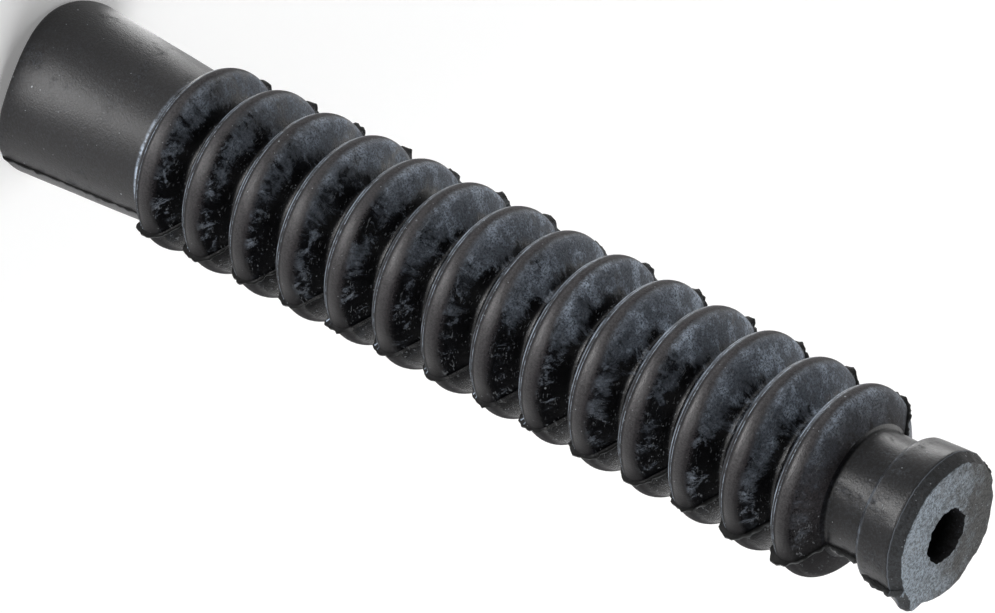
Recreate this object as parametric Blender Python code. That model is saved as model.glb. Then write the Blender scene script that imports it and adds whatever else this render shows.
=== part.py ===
"""Rubber boot for a brake cable, moulded in one piece.

The boot stands on the wide mouth of its sleeve, with its axis along +Z. Above the sleeve come the
ribs of the bellows, then a short neck and a collar with the hole that grips the cable. The two
halves of the mould met in the XZ plane, and a thin fin of flash runs up the boot on both sides.
"""

import math

import bmesh
import bpy
from mathutils import Vector

MM = 0.001

# Bellows
RIB_COUNT = 14
RIB_PITCH = 6.0 * MM
RIB_DIAMETER = 19.0 * MM
ROOT_DIAMETER = 12.6 * MM
CREST_ROUND = 1.6 * MM
VALLEY_ROUND = 0.5 * MM
BELLOWS_WALL = 1.2 * MM
RIB_CORE_TIP = 0.5 * MM

# Sleeve at the wide end, measured up to the crest of the first rib
SLEEVE_LENGTH = 19.3 * MM
MOUTH_DIAMETER = 18.4 * MM
SLEEVE_TOP_DIAMETER = 16.0 * MM
SLEEVE_WALL = 1.5 * MM
MOUTH_ROUND = 0.6 * MM
BORE_CHAMFER = 0.3 * MM

# Neck and collar at the cable end, the neck measured from the crest of the last rib
NECK_LENGTH = 7.0 * MM
NECK_DIAMETER = 12.4 * MM
COLLAR_LENGTH = 5.1 * MM
COLLAR_DIAMETER = 14.7 * MM
COLLAR_TOP_DIAMETER = 15.2 * MM
COLLAR_ROUND = 0.3 * MM
BEVEL_HEIGHT = 1.2 * MM
BEVEL_WIDTH = 0.7 * MM
CABLE_HOLE_DIAMETER = 5.2 * MM
CAVITY_CONE = 1.5 * MM

# Fins of flash left where the mould halves met
FLASH_ON_SLEEVE = 0.2 * MM
FLASH_ON_RIBS = 0.35 * MM
FLASH_ON_COLLAR = 0.5 * MM
FLASH_BASE = 0.3 * MM

# Fineness of the round shapes
STEPS_PER_HALF = 12
CREST_STEPS = 4
VALLEY_STEPS = 2
EDGE_STEPS = 2
WELD_DISTANCE = 0.0001 * MM

RUBBER_COLOUR = (0.022, 0.022, 0.024, 1.0)
RUBBER_ROUGHNESS = 0.5
SHARP_EDGE_ANGLE = math.radians(50)

RIB_RADIUS = RIB_DIAMETER / 2
ROOT_RADIUS = ROOT_DIAMETER / 2
MOUTH_RADIUS = MOUTH_DIAMETER / 2
SLEEVE_TOP_RADIUS = SLEEVE_TOP_DIAMETER / 2
NECK_RADIUS = NECK_DIAMETER / 2
COLLAR_RADIUS = COLLAR_DIAMETER / 2
COLLAR_TOP_RADIUS = COLLAR_TOP_DIAMETER / 2
CABLE_HOLE_RADIUS = CABLE_HOLE_DIAMETER / 2

LAST_CREST = SLEEVE_LENGTH + (RIB_COUNT - 1) * RIB_PITCH
STEP_HEIGHT = LAST_CREST + NECK_LENGTH
TOP_HEIGHT = STEP_HEIGHT + COLLAR_LENGTH


def clear_scene():
    """Removes every object that the scene starts with."""
    for old in list(bpy.data.objects):
        bpy.data.objects.remove(old, do_unlink=True)


def flank_tilt():
    """The angle between a rib's flank and the axis, from the two rounds that the flank touches."""
    across = RIB_PITCH / 2
    down = (RIB_RADIUS - CREST_ROUND) - (ROOT_RADIUS + VALLEY_ROUND)
    apart = math.hypot(across, down)
    return math.atan2(down, across) + math.asin(min(1.0, (CREST_ROUND + VALLEY_ROUND) / apart))


def outer_reach(radius):
    """How far from a crest, along the axis, the outside of a rib has come down to this radius."""
    tilt = flank_tilt()
    crest_centre = RIB_RADIUS - CREST_ROUND
    flank_top = crest_centre + CREST_ROUND * math.cos(tilt)
    if radius > flank_top:
        return math.sqrt(CREST_ROUND ** 2 - (radius - crest_centre) ** 2)
    return CREST_ROUND * math.sin(tilt) + (flank_top - radius) / math.tan(tilt)


def inner_reach(radius):
    """How far from a crest, along the axis, the inside of a rib has come down to this radius."""
    tilt = flank_tilt()
    crest_centre = RIB_RADIUS - CREST_ROUND
    flank_top = crest_centre + CREST_ROUND * math.cos(tilt)
    flank = CREST_ROUND * math.sin(tilt) + (flank_top - radius) / math.tan(tilt)
    return flank - BELLOWS_WALL / math.sin(tilt)


def inner_crest_radius():
    """The radius inside a rib: a wall below its crest, and no narrower than the core's tip."""
    tip_below_root = inner_reach(ROOT_RADIUS) - RIB_CORE_TIP / 2
    narrowest = ROOT_RADIUS + tip_below_root * math.tan(flank_tilt())
    return min(RIB_RADIUS - BELLOWS_WALL, narrowest)


def arc(centre_radius, centre_height, size, start, end, steps):
    """Points on a round, with angles from straight out towards the top of the boot."""
    points = []
    for step in range(steps + 1):
        angle = start + (end - start) * step / steps
        points.append((centre_radius + size * math.cos(angle), centre_height + size * math.sin(angle)))
    return points


def sleeve_outline():
    """The outside of the sleeve, from the flat of its mouth to the first rib."""
    quarter = math.pi / 2
    rim = arc(MOUTH_RADIUS - MOUTH_ROUND, MOUTH_ROUND, MOUTH_ROUND, -quarter, 0, EDGE_STEPS)
    top = (SLEEVE_TOP_RADIUS, SLEEVE_LENGTH - outer_reach(SLEEVE_TOP_RADIUS))
    return rim + [top]


def bellows_outline():
    """The outside of all the ribs, with a round valley between each two."""
    tilt = flank_tilt()
    first_start = -tilt
    if SLEEVE_TOP_RADIUS > RIB_RADIUS - CREST_ROUND + CREST_ROUND * math.cos(tilt):
        first_start = -math.acos((SLEEVE_TOP_RADIUS - RIB_RADIUS + CREST_ROUND) / CREST_ROUND)
    points = []
    for rib in range(RIB_COUNT):
        height = SLEEVE_LENGTH + rib * RIB_PITCH
        start = first_start if rib == 0 else -tilt
        crest = arc(RIB_RADIUS - CREST_ROUND, height, CREST_ROUND, start, tilt, CREST_STEPS)
        points += crest
        if rib < RIB_COUNT - 1:
            low = math.pi + tilt
            high = math.pi - tilt
            middle = height + RIB_PITCH / 2
            points += arc(ROOT_RADIUS + VALLEY_ROUND, middle, VALLEY_ROUND, low, high, VALLEY_STEPS)
    return points


def collar_outline():
    """The outside of the neck and the collar, up to the rim of the end face."""
    quarter = math.pi / 2
    neck_start = (NECK_RADIUS, LAST_CREST + outer_reach(NECK_RADIUS))
    neck_end = (NECK_RADIUS, STEP_HEIGHT)
    edge_centre = COLLAR_RADIUS - COLLAR_ROUND
    edge = arc(edge_centre, STEP_HEIGHT + COLLAR_ROUND, COLLAR_ROUND, -quarter, 0, EDGE_STEPS)
    bevel_start = (COLLAR_TOP_RADIUS, TOP_HEIGHT - BEVEL_HEIGHT)
    face_rim = (COLLAR_TOP_RADIUS - BEVEL_WIDTH, TOP_HEIGHT)
    return [neck_start, neck_end] + edge + [bevel_start, face_rim]


def cavity_outline():
    """The inside of the boot, from the cable hole in the end face down to the mouth."""
    crest = inner_crest_radius()
    root = ROOT_RADIUS - BELLOWS_WALL
    crest_half = inner_reach(crest)
    root_half = inner_reach(root)
    cavity_top = LAST_CREST + root_half
    points = [(CABLE_HOLE_RADIUS, TOP_HEIGHT), (CABLE_HOLE_RADIUS, cavity_top + CAVITY_CONE)]
    for rib in reversed(range(RIB_COUNT)):
        height = SLEEVE_LENGTH + rib * RIB_PITCH
        points += [(root, height + root_half), (crest, height + crest_half), (crest, height - crest_half)]
        if rib > 0:
            points.append((root, height - root_half))
    bore_top = SLEEVE_TOP_RADIUS - SLEEVE_WALL
    bore_mouth = MOUTH_RADIUS - SLEEVE_WALL
    points.append((bore_top, SLEEVE_LENGTH - inner_reach(bore_top)))
    points.append((bore_mouth, BORE_CHAMFER))
    points.append((bore_mouth + BORE_CHAMFER, 0.0))
    return points


def flash_at(height):
    """How far the fin of flash stands out at this height on the boot."""
    if height <= MOUTH_ROUND:
        return 0.0
    if height < SLEEVE_LENGTH - outer_reach(SLEEVE_TOP_RADIUS):
        return FLASH_ON_SLEEVE
    if height <= LAST_CREST + outer_reach(NECK_RADIUS):
        return FLASH_ON_RIBS
    return FLASH_ON_COLLAR


def flash_shifts(outside):
    """For each point of the outside, where the fin moves it: out along the outline's own normal."""
    shifts = []
    for index, (radius, height) in enumerate(outside):
        before = outside[max(index - 1, 0)]
        after = outside[min(index + 1, len(outside) - 1)]
        along = Vector((after[0] - before[0], after[1] - before[1])).normalized()
        out = Vector((along.y, -along.x)) * flash_at(height)
        if height >= TOP_HEIGHT:
            out = Vector((out.length, 0.0))
        shifts.append((radius + out.x, height + out.y))
    return shifts


def turn_profile(mesh, profile):
    """Spins the closed profile about Z, with narrow steps on both sides of the two fins."""
    loop = [mesh.verts.new((radius, 0.0, height)) for radius, height in profile]
    edges = [mesh.edges.new((loop[i - 1], loop[i])) for i in range(len(loop))]
    narrow = math.asin(FLASH_BASE / RIB_DIAMETER)
    turns = [(narrow, 1), (math.pi - 2 * narrow, STEPS_PER_HALF), (narrow, 1)]
    geometry = loop + edges
    for angle, steps in turns * 2:
        spun = bmesh.ops.spin(mesh, geom=geometry, cent=(0, 0, 0), axis=(0, 0, 1), dvec=(0, 0, 0),
                              angle=angle, steps=steps, use_merge=False, use_duplicate=False)
        geometry = [item for item in spun["geom_last"] if not isinstance(item, bmesh.types.BMFace)]
    bmesh.ops.remove_doubles(mesh, verts=mesh.verts[:], dist=WELD_DISTANCE)


def raise_flash(mesh, outside):
    """Pulls the two lines of vertices in the mould's plane out into fins."""
    shifts = flash_shifts(outside)
    in_plane = [vert for vert in mesh.verts if abs(vert.co.y) < WELD_DISTANCE]
    for vert in in_plane:
        for (radius, height), (fin_radius, fin_height) in zip(outside, shifts):
            if math.hypot(abs(vert.co.x) - radius, vert.co.z - height) < WELD_DISTANCE:
                vert.co = (math.copysign(fin_radius, vert.co.x), 0.0, fin_height)
                break


def rubber():
    """Black rubber with a satin surface."""
    material = bpy.data.materials.new("black_rubber")
    material.use_nodes = True
    shader = material.node_tree.nodes["Principled BSDF"]
    shader.inputs["Base Color"].default_value = RUBBER_COLOUR
    shader.inputs["Roughness"].default_value = RUBBER_ROUGHNESS
    shader.inputs["Metallic"].default_value = 0.0
    return material


def make_boot():
    """The whole boot as one closed body."""
    outside = sleeve_outline() + bellows_outline() + collar_outline()
    shell = bmesh.new()
    turn_profile(shell, outside + cavity_outline())
    raise_flash(shell, outside)
    bmesh.ops.recalc_face_normals(shell, faces=shell.faces[:])
    mesh = bpy.data.meshes.new("bellows_boot")
    shell.to_mesh(mesh)
    shell.free()
    mesh.shade_smooth()
    mesh.set_sharp_from_angle(angle=SHARP_EDGE_ANGLE)
    mesh.materials.append(rubber())
    boot = bpy.data.objects.new("bellows_boot", mesh)
    bpy.context.scene.collection.objects.link(boot)
    return boot


def main():
    """Builds the boot in an empty scene."""
    clear_scene()
    make_boot()


main()
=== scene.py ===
"""The looks of a moulded rubber boot for a brake cable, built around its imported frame.

The boot stands on its mouth with its axis along +Z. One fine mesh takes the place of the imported
body: a turned outline, then the fins of flash, the torn rim of the collar and the small faults of
a cheap moulding. Black rubber is dressed by zone, from the clean crests to the dusty flanks.
"""

import logging
import math
from dataclasses import dataclass, field
from enum import Enum
from functools import cached_property

import bmesh
import bpy
from mathutils import Matrix, Vector, noise


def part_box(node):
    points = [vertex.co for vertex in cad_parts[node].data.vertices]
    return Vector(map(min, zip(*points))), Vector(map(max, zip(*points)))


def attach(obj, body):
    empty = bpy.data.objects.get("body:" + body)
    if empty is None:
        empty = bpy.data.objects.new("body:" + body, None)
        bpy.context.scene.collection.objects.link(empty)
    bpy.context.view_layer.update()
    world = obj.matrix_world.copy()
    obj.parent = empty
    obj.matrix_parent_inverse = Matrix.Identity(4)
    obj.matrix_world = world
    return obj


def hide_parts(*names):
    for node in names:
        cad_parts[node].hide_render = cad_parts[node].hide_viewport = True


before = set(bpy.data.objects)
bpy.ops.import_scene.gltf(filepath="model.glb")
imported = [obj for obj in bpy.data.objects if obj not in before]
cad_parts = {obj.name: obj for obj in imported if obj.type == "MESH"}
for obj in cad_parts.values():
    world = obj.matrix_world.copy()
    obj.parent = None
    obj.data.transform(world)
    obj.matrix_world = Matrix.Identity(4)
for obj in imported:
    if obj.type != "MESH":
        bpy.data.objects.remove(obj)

LOG = logging.getLogger("rubber_boot")
MM = 0.001
NODE = "bellows_boot"
DUST_TURN = 215.0
PALE_TURN = 320.0
ORIGIN = (0.0, 0.0, 0.0)

Colour = tuple[float, float, float, float]
Tree = bpy.types.ShaderNodeTree
Node = bpy.types.Node
Socket = bpy.types.NodeSocket


class Zone(Enum):
    """The stretches of the boot's surface, each with its own place in the outline."""

    RIM = "rim"
    SLEEVE = "sleeve"
    CREST = "crest"
    LOWER_FLANK = "lower_flank"
    UPPER_FLANK = "upper_flank"
    VALLEY = "valley"
    NECK = "neck"
    COLLAR = "collar"
    BEVEL = "bevel"
    FACE = "face"
    HOLE = "hole"
    CAVITY = "cavity"


RIBBED = (Zone.CREST, Zone.LOWER_FLANK, Zone.UPPER_FLANK, Zone.VALLEY)
END_FACES = (Zone.COLLAR, Zone.BEVEL, Zone.FACE)


class Skin(Enum):
    """The finishes, in the order of the mesh's material slots."""

    SLEEVE = 0
    RIBS = 1
    COLLAR = 2
    CUT = 3
    INSIDE = 4
    FLASH = 5


ZONES_OF_SKIN: dict[Skin, tuple[Zone, ...]] = {
    Skin.SLEEVE: (Zone.RIM, Zone.SLEEVE),
    Skin.RIBS: RIBBED,
    Skin.COLLAR: (Zone.NECK, Zone.COLLAR),
    Skin.CUT: (Zone.BEVEL, Zone.FACE),
    Skin.INSIDE: (Zone.HOLE, Zone.CAVITY),
}
SKIN_OF_ZONE = {zone: skin for skin, zones in ZONES_OF_SKIN.items() for zone in zones}


def boot_top() -> float:
    """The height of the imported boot."""
    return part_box(NODE)[1].z


def outward(angle: float) -> Vector:
    """The direction straight out from the axis at an angle."""
    return Vector((math.cos(angle), math.sin(angle), 0.0))


def stand(name: str, data: bpy.types.ID) -> bpy.types.Object:
    """Makes an object and puts it in the scene.

    Args:
        name: Its name.
        data: Its mesh, light or camera.

    Returns:
        The object.
    """
    made = bpy.data.objects.new(name, data)
    bpy.context.scene.collection.objects.link(made)
    return made


def fade(value: float, low: float, high: float) -> float:
    """Rises smoothly from 0 at low to 1 at high.

    Args:
        value: The number to place.
        low: Where the rise starts.
        high: Where it ends, which may lie below low for a fall.

    Returns:
        A share from 0 to 1.
    """
    share = min(1.0, max(0.0, (value - low) / (high - low)))
    return share * share * (3.0 - 2.0 * share)


@dataclass(frozen=True)
class Station:
    """One point of the outline, which the spin carries round the boot."""

    radius: float
    height: float
    zone: Zone
    rib: int = -1


@dataclass(frozen=True)
class BootSizes:
    """The moulding's sizes in metres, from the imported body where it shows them."""

    height: float
    rib_radius: float
    rib_count: int = 14
    rib_pitch: float = 6.0 * MM
    root_radius: float = 6.3 * MM
    crest_round: float = 1.6 * MM
    valley_round: float = 0.5 * MM
    bellows_wall: float = 1.2 * MM
    core_tip: float = 0.5 * MM
    sleeve_length: float = 19.3 * MM
    mouth_radius: float = 9.2 * MM
    sleeve_top_radius: float = 8.0 * MM
    sleeve_wall: float = 1.5 * MM
    mouth_round: float = 0.6 * MM
    bore_chamfer: float = 0.3 * MM
    neck_length: float = 7.0 * MM
    neck_radius: float = 6.2 * MM
    neck_fillet: float = 0.35 * MM
    collar_radius: float = 7.35 * MM
    collar_top_radius: float = 7.6 * MM
    collar_round: float = 0.45 * MM
    bevel_height: float = 1.2 * MM
    bevel_width: float = 0.7 * MM
    hole_radius: float = 2.6 * MM
    cavity_cone: float = 1.5 * MM

    def crest_height(self, rib: int) -> float:
        """The height of a rib's crest."""
        return self.sleeve_length + rib * self.rib_pitch

    @property
    def last_crest(self) -> float:
        """The height of the last rib's crest."""
        return self.crest_height(self.rib_count - 1)

    @property
    def step_height(self) -> float:
        """The height where the neck ends and the collar steps out."""
        return self.last_crest + self.neck_length

    @property
    def flank_tilt(self) -> float:
        """How a flank leans, from the crest's round and the valley's.

        Returns:
            Its angle to the axis.
        """
        across = self.rib_pitch / 2
        down = (self.rib_radius - self.crest_round) - (self.root_radius + self.valley_round)
        rounds = (self.crest_round + self.valley_round) / math.hypot(across, down)
        return math.atan2(down, across) + math.asin(rounds)

    @property
    def crest_reach(self) -> float:
        """How far the crest's round reaches from the crest, along the axis."""
        return self.crest_round * math.sin(self.flank_tilt)

    def outer_reach(self, radius: float) -> float:
        """How far from a crest, along the axis, the outside has come down to a radius.

        Args:
            radius: The radius reached, below the crest's round.

        Returns:
            The distance along the axis.
        """
        tilt = self.flank_tilt
        flank_top = self.rib_radius - self.crest_round + self.crest_round * math.cos(tilt)
        return self.crest_reach + (flank_top - radius) / math.tan(tilt)

    def inner_reach(self, radius: float) -> float:
        """How far from a crest, along the axis, the inside has come down to a radius.

        Args:
            radius: The radius reached inside the rib.

        Returns:
            The distance along the axis.
        """
        return self.outer_reach(radius) - self.bellows_wall / math.sin(self.flank_tilt)


@dataclass
class Outline:
    """The boot's closed outline, from the mouth up the outside and down the inside again."""

    sizes: BootSizes
    spacing: float = 0.3 * MM
    close: float = 0.5
    wide: float = 2.0
    coarse: float = 4.0
    crest_steps: int = 14
    valley_steps: int = 12
    mouth_steps: int = 6
    fillet_steps: int = 5
    rib: int = -1
    stations: list[Station] = field(default_factory=list)

    def last(self) -> tuple[float, float]:
        """The last point so far, or the bore's edge at the mouth.

        Returns:
            Its radius and height.
        """
        if self.stations:
            return (self.stations[-1].radius, self.stations[-1].height)
        return (self.sizes.mouth_radius - self.sizes.sleeve_wall + self.sizes.bore_chamfer, 0.0)

    def add(self, point: tuple[float, float], zone: Zone) -> None:
        """Adds a point, with the rib's number where it is on the outside of a rib."""
        self.stations.append(Station(point[0], point[1], zone, self.rib if zone in RIBBED else -1))

    def run(self, end: tuple[float, float], zone: Zone, spread: float = 1.0) -> None:
        """Adds a straight stretch from the last point, without that point.

        Args:
            end: Radius and height where it ends.
            zone: The stretch's zone.
            spread: The longest distance between two points, in spacings.
        """
        start = self.last()
        length = math.hypot(end[0] - start[0], end[1] - start[1])
        count = max(1, math.ceil(length / (spread * self.spacing)))
        for index in range(1, count + 1):
            share = index / count
            point = (start[0] + (end[0] - start[0]) * share, start[1] + (end[1] - start[1]) * share)
            self.add(point, zone)

    def bend(self, centre: tuple[float, float], size: float, turn: tuple[float, float],
             zones: tuple[Zone, Zone], steps: int) -> None:
        """Adds a straight stretch up to a round, and the round itself.

        Args:
            centre: Radius and height of the round's centre.
            size: The round's own radius.
            turn: The first and the last angle, from straight out towards the cable end.
            zones: The zones of the stretch and of the round.
            steps: How many steps the round takes.
        """
        for index in range(steps + 1):
            angle = turn[0] + (turn[1] - turn[0]) * index / steps
            point = (centre[0] + size * math.cos(angle), centre[1] + size * math.sin(angle))
            if index == 0:
                self.run(point, zones[0])
                self.stations.pop()
            self.add(point, zones[1])

    def draw_sleeve(self) -> None:
        """The mouth's rounded rim and the tapered sleeve."""
        s = self.sizes
        centre = (s.mouth_radius - s.mouth_round, s.mouth_round)
        self.bend(centre, s.mouth_round, (-math.pi / 2, 0.0), (Zone.RIM, Zone.RIM), self.mouth_steps)
        top = (s.sleeve_top_radius, s.sleeve_length - s.outer_reach(s.sleeve_top_radius))
        self.run(top, Zone.SLEEVE, self.wide)

    def draw_bellows(self) -> None:
        """All the ribs, each a round crest between two flanks, with round valleys."""
        s = self.sizes
        tilt = s.flank_tilt
        for rib in range(s.rib_count):
            self.rib = rib
            height = s.crest_height(rib)
            crest = (s.rib_radius - s.crest_round, height)
            self.bend(crest, s.crest_round, (-tilt, tilt), (Zone.LOWER_FLANK, Zone.CREST), self.crest_steps)
            if rib < s.rib_count - 1:
                valley = (s.root_radius + s.valley_round, height + s.rib_pitch / 2)
                turn = (math.pi + tilt, math.pi - tilt)
                zones = (Zone.UPPER_FLANK, Zone.VALLEY)
                self.bend(valley, s.valley_round, turn, zones, self.valley_steps)

    def draw_cable_end(self) -> None:
        """The last flank, the neck, the collar with its torn bevel, and the end face."""
        s = self.sizes
        tilt = s.flank_tilt
        fillet = s.neck_fillet
        foot = s.outer_reach(s.neck_radius + fillet * (1.0 - math.cos(tilt))) + fillet * math.sin(tilt)
        centre = (s.neck_radius + fillet, s.last_crest + foot)
        turn = (math.pi + tilt, math.pi)
        self.bend(centre, fillet, turn, (Zone.UPPER_FLANK, Zone.NECK), self.fillet_steps)
        self.run((s.neck_radius, s.step_height), Zone.NECK)
        edge = (s.collar_radius - s.collar_round, s.step_height + s.collar_round)
        self.bend(edge, s.collar_round, (-math.pi / 2, 0.0), (Zone.COLLAR, Zone.COLLAR), self.fillet_steps)
        self.run((s.collar_top_radius, s.height - s.bevel_height), Zone.COLLAR)
        self.run((s.collar_top_radius - s.bevel_width, s.height), Zone.BEVEL, self.close)
        self.run((s.hole_radius, s.height), Zone.FACE)

    def draw_inside(self) -> None:
        """The cable's hole, the cavity under the ribs and the sleeve's bore."""
        s = self.sizes
        root = s.root_radius - s.bellows_wall
        tip_reach = s.inner_reach(s.root_radius) - s.core_tip / 2
        crest = min(s.rib_radius - s.bellows_wall, s.root_radius + tip_reach * math.tan(s.flank_tilt))
        crest_half = s.inner_reach(crest)
        root_half = s.inner_reach(root)
        self.run((s.hole_radius, s.height - 3 * self.spacing), Zone.HOLE, self.close)
        self.run((s.hole_radius, s.last_crest + root_half + s.cavity_cone), Zone.HOLE, self.coarse)
        corners = []
        for rib in reversed(range(s.rib_count)):
            height = s.crest_height(rib)
            corners += [(root, height + root_half), (crest, height + crest_half)]
            corners += [(crest, height - crest_half), (root, height - root_half)]
        bore_top = s.sleeve_top_radius - s.sleeve_wall
        bore_mouth = s.mouth_radius - s.sleeve_wall
        corners[-1] = (bore_top, s.sleeve_length - s.inner_reach(bore_top))
        corners += [(bore_mouth, s.bore_chamfer), (bore_mouth + s.bore_chamfer, 0.0)]
        for corner in corners:
            self.run(corner, Zone.CAVITY, self.coarse)

    def draw(self) -> list[Station]:
        """Draws the whole outline.

        Returns:
            Its points in order, the first one next to the last.
        """
        self.draw_sleeve()
        self.draw_bellows()
        self.draw_cable_end()
        self.draw_inside()
        return self.stations


@dataclass(frozen=True)
class Flash:
    """The fin of squeezed-out rubber where the mould's halves met, one on each side in the XZ plane."""

    sleeve: float = 0.18 * MM
    lower_flank: float = 0.14 * MM
    upper_flank: float = 0.30 * MM
    lump: float = 0.68 * MM
    spur: float = 0.46 * MM
    lump_spread: float = 0.5
    lump_shift: float = 0.80
    spur_shift: float = 0.85
    neck: float = 0.45 * MM
    collar: float = 0.5 * MM
    far_share: float = 0.25
    ragged: float = 0.30 * MM
    tooth: float = 0.55 * MM
    thin_tip: float = 0.05 * MM
    thin_base: float = 0.17 * MM
    lump_tip: float = 0.14 * MM
    lump_base: float = 0.46 * MM
    between: tuple[float, ...] = (0.11 * MM, 0.27 * MM, 0.39 * MM, 0.80 * MM)
    least_share: float = 0.3
    collar_rise: float = 2.0 * MM

    def columns(self, radius: float) -> list[float]:
        """The angles, on one side of the fin's middle, where the spin stops near it.

        Args:
            radius: The radius at which the fin's widths are measured.

        Returns:
            Angles from the middle outwards.
        """
        offsets = sorted((self.thin_tip, self.thin_base, self.lump_base) + self.between)
        return [offset / radius for offset in offsets]

    def lumpiness(self, station: Station, side: int, sizes: BootSizes) -> float:
        """How much a place belongs to the thick lump that the fin has on each crest.

        Args:
            station: The point of the outline.
            side: 1 for the fin at +X, -1 for the one at -X.
            sizes: The boot's sizes.

        Returns:
            A share, 0 on the flanks and everywhere off the ribs.
        """
        if station.rib < 0:
            return 0.0
        off = (station.height - sizes.crest_height(station.rib)) / sizes.crest_reach
        off += self.spur_shift if side > 0 else self.lump_shift
        return fade(off, -0.45, 0.05) * (1.0 - fade(off, 0.70, 1.50))

    def share(self, offset: float, lumpiness: float) -> float:
        """The fin's section across: a thin ridge, or a broad round lump.

        Args:
            offset: The distance from the fin's middle.
            lumpiness: How much the place belongs to a lump.

        Returns:
            The share of the height.
        """
        tip = self.thin_tip + (self.lump_tip - self.thin_tip) * lumpiness
        base = self.thin_base + (self.lump_base - self.thin_base) * lumpiness
        return 1.0 - fade(offset, tip, base)

    def height_at(self, station: Station, side: int, sizes: BootSizes) -> float:
        """How far the ragged fin stands out at a station.

        Args:
            station: The point of the outline.
            side: 1 for the fin at +X, -1 for the one at -X.
            sizes: The boot's sizes.

        Returns:
            The height of the fin's tip.
        """
        if station.zone in (Zone.FACE, Zone.HOLE, Zone.CAVITY):
            return 0.0
        if station.zone is Zone.RIM:
            return self.sleeve * fade(station.height, 0.3 * sizes.mouth_round, sizes.mouth_round)
        place = Vector((station.radius, station.height, side * 40.0 * MM)) / self.tooth
        teeth = noise.noise(place) + 0.6 * noise.noise(place * 2.7)
        if station.rib >= 0:
            above = station.height > sizes.crest_height(station.rib)
            flank = self.upper_flank if above else self.lower_flank
            size = self.spur if side > 0 else self.lump
            size *= 1.0 + self.lump_spread * noise.noise(Vector((station.rib * 1.9, side * 5.3, 0.7)))
            base = flank + (size - flank) * self.lumpiness(station, side, sizes)
        else:
            base = {Zone.SLEEVE: self.sleeve, Zone.NECK: self.neck,
                    Zone.COLLAR: self.collar, Zone.BEVEL: self.collar}[station.zone]
            if side < 0 and station.zone is not Zone.SLEEVE:
                base *= self.far_share
            if station.zone is Zone.COLLAR:
                base *= fade(station.height, sizes.step_height, sizes.step_height + self.collar_rise)
        raised = base + self.ragged * teeth * min(1.0, 2.0 * base / self.lump)
        return max(self.least_share * base, raised)


@dataclass(frozen=True)
class Faults:
    """The small irregularities of a cheap moulding that was pulled off its core and trimmed by hand."""

    rib_shift: float = 0.05 * MM
    end_shift: float = 0.11 * MM
    end_swell: float = 0.09 * MM
    end_start: float = 6.0
    end_ribs: float = 6.0
    mouth_wave: float = 0.5 * MM
    mouth_waves: int = 3
    mouth_turn: float = math.radians(2.0)
    mouth_reach: float = 9.0 * MM
    tag: float = 0.8 * MM
    tag_turn: float = math.radians(25.0)
    tag_width: float = math.radians(6.5)
    hole_shift: float = 0.35 * MM
    hole_swell: float = 0.15 * MM
    rib_lean: float = 0.004
    rib_swell: float = 0.05 * MM
    ripple: float = 0.025 * MM
    ripple_size: float = 5.0 * MM
    bow: float = 0.25 * MM
    bow_turn: float = math.radians(200.0)
    trim: float = 0.28 * MM
    trim_size: float = 2.4 * MM
    hole_tear: float = 0.17 * MM
    hole_tear_size: float = 0.6 * MM
    hole_tear_depth: float = 1.2 * MM
    pit: float = 0.06 * MM
    pit_size: float = 0.45 * MM

    def rib_offset(self, rib: float, radius: float, angle: float) -> Vector:
        """How far a rib sits off its ideal place.

        Args:
            rib: The rib's number, with a share of the way to the next one.
            radius: The point's radius.
            angle: The point's angle round the axis.

        Returns:
            The shift of the point.
        """
        sway = Vector([noise.noise(Vector((rib * 0.83, 2.1, row))) for row in (7.7, 18.2, 29.4)])
        swell = self.rib_swell * noise.noise(Vector((rib * 0.71, 9.3, 1.4)))
        lean = self.rib_lean * radius * (sway.y * math.cos(angle) + sway.z * math.sin(angle))
        late = fade(rib, self.end_start, self.end_start + self.end_ribs)
        shift = Vector((sway.x, sway.z, 0.0)) * self.rib_shift
        shift -= outward(self.bow_turn) * self.end_shift * late
        return shift + outward(angle) * (swell + self.end_swell * late) + Vector((0.0, 0.0, lean))

    def mouth_offset(self, height: float, angle: float) -> float:
        """How far the mouth's uneven edge lies above or below its ideal place.

        Args:
            height: The point's height.
            angle: Its angle round the axis.

        Returns:
            The change of height.
        """
        wave = math.cos(self.mouth_waves * (angle - self.mouth_turn))
        return -self.mouth_wave * wave * (1.0 - fade(height, 0.0, self.mouth_reach))

    def bow_offset(self, share: float) -> Vector:
        """The slight bend of the bellows.

        Args:
            share: From -1 at the first rib to 1 at the last.

        Returns:
            The shift of the axis there.
        """
        return outward(self.bow_turn) * self.bow * max(0.0, 1.0 - share * share)


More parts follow.
